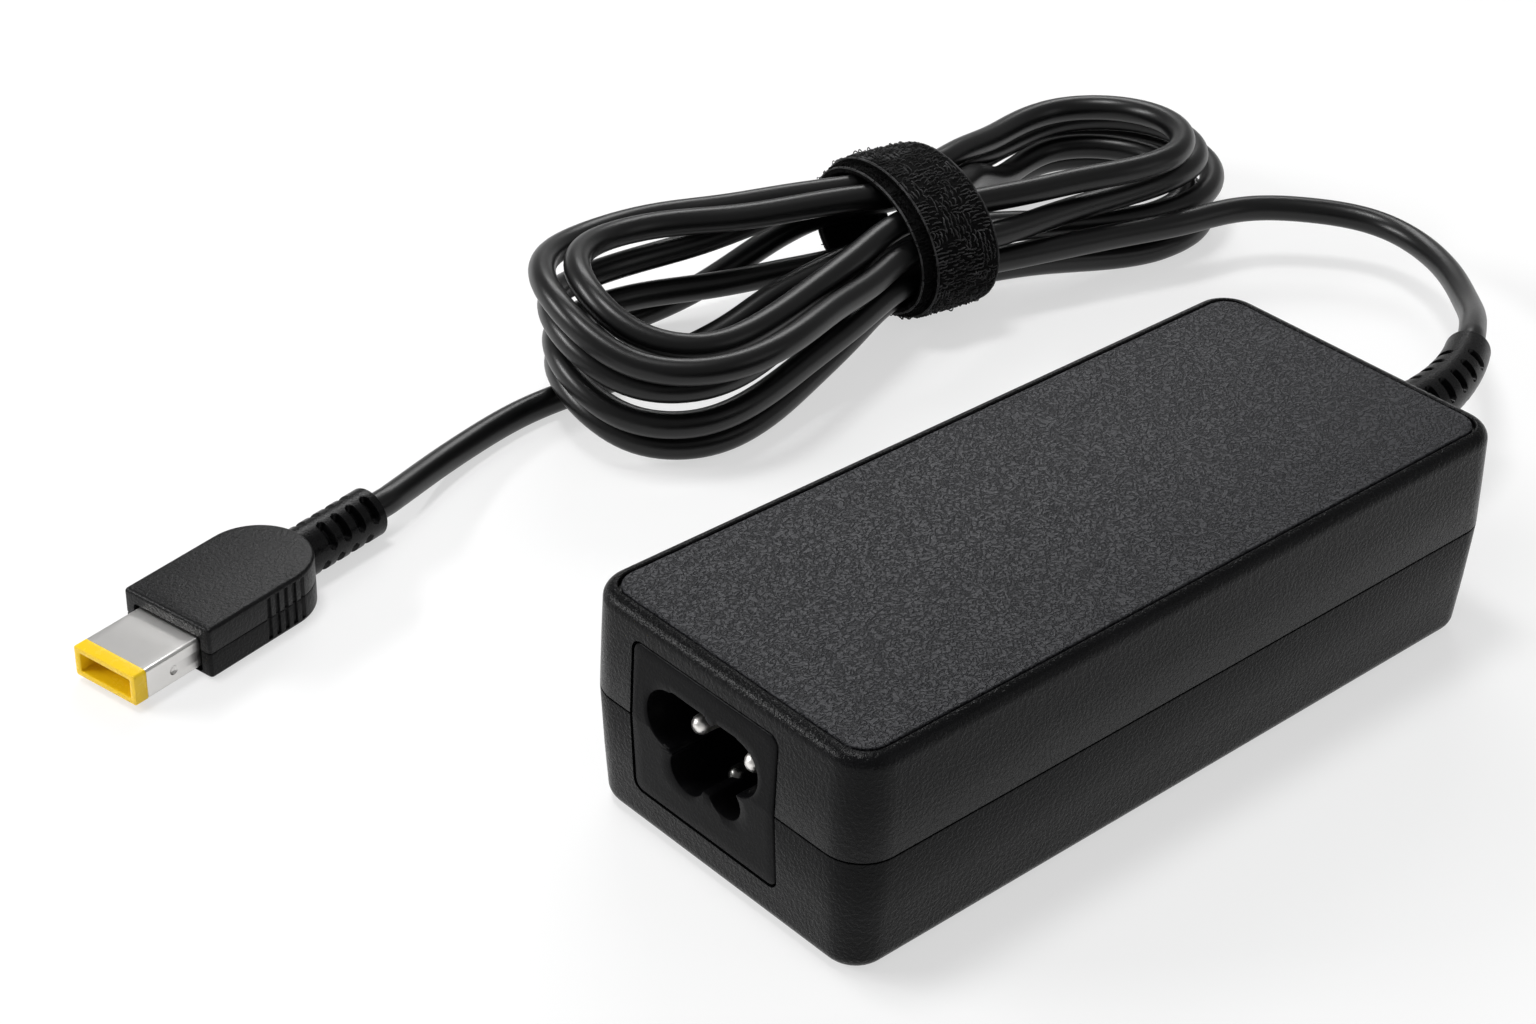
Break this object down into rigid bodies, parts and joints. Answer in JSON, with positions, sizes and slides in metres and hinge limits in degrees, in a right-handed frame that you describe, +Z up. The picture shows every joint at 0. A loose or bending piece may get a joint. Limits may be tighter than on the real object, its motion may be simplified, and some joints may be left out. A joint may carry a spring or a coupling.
{
  "type": "laptop power adapter",
  "caption": "Black laptop power adapter brick with a lobed mains inlet and an inlaid top panel, its low-voltage cord hanked and tied with a strap, ending in a flat rectangular plug",
  "frame": {"origin": "middle of the brick's underside, on the floor", "axes": "+X along the brick towards the end with the low-voltage cord, +Y across the brick towards the hank, +Z up out of the top panel"},
  "size_m": [0.207, 0.1283, 0.0295],
  "materials": {
    "case_plastic": "fine-grained black",
    "panel_plastic": "wrinkled leather grain",
    "inlet_plastic": "satin black",
    "pin_metal": "nickel plated",
    "board": "green laminate",
    "sheet_plastic": "thin plastic sheet",
    "fuse_plastic": "brown",
    "ferrite": "sintered ferrite",
    "copper_wire": "enamelled copper",
    "capacitor_film": "yellow box",
    "package_plastic": "moulded package",
    "capacitor_sleeve": "heat-shrunk sleeve",
    "heatsink": "plain sheet",
    "bobbin_plastic": "natural",
    "tape": "polyester tape",
    "disc_ceramic": "dipped ceramic",
    "wire_insulation": "insulated wire",
    "relief_rubber": "satin black",
    "cord_jacket": "smooth satin",
    "strap_fabric": "hook and loop",
    "plug_plastic": "fine speckle",
    "barrel_metal": "brushed nickel",
    "tip_plastic": "yellow",
    "contact_metal": "plated spring metal"
  },
  "bodies": {
    "root": {"top_shell": "case_plastic", "bottom_shell": "case_plastic", "top_panel": "panel_plastic", "inlet_body": "inlet_plastic", "live_pin": "pin_metal", "neutral_pin": "pin_metal", "earth_pin": "pin_metal", "circuit_board": "board", "insulating_sheet": "sheet_plastic", "fuse": "fuse_plastic", "choke_core": "ferrite", "choke_windings": "copper_wire", "x_capacitor": "capacitor_film", "bridge_rectifier": "package_plastic", "bulk_capacitor": "capacitor_sleeve", "primary_heatsink": "heatsink", "switching_transistor": "package_plastic", "transformer_core": "ferrite", "transformer_bobbin": "bobbin_plastic", "transformer_winding": "tape", "optocoupler": "package_plastic", "y_capacitor": "disc_ceramic", "secondary_heatsink": "heatsink", "output_rectifier": "package_plastic", "output_capacitors": "capacitor_sleeve", "input_leads": "wire_insulation", "output_leads": "wire_insulation", "dc_strain_relief": "relief_rubber", "cord_adapter_lead": "cord_jacket", "cord_hank": "cord_jacket", "cord_plug_lead": "cord_jacket", "tie_strap": "strap_fabric", "plug_body": "plug_plastic", "plug_strain_relief": "relief_rubber", "plug_barrel": "barrel_metal", "plug_tip": "tip_plastic", "plug_centre_pin": "contact_metal", "plug_contacts": "contact_metal"}
  },
  "joints": []
}
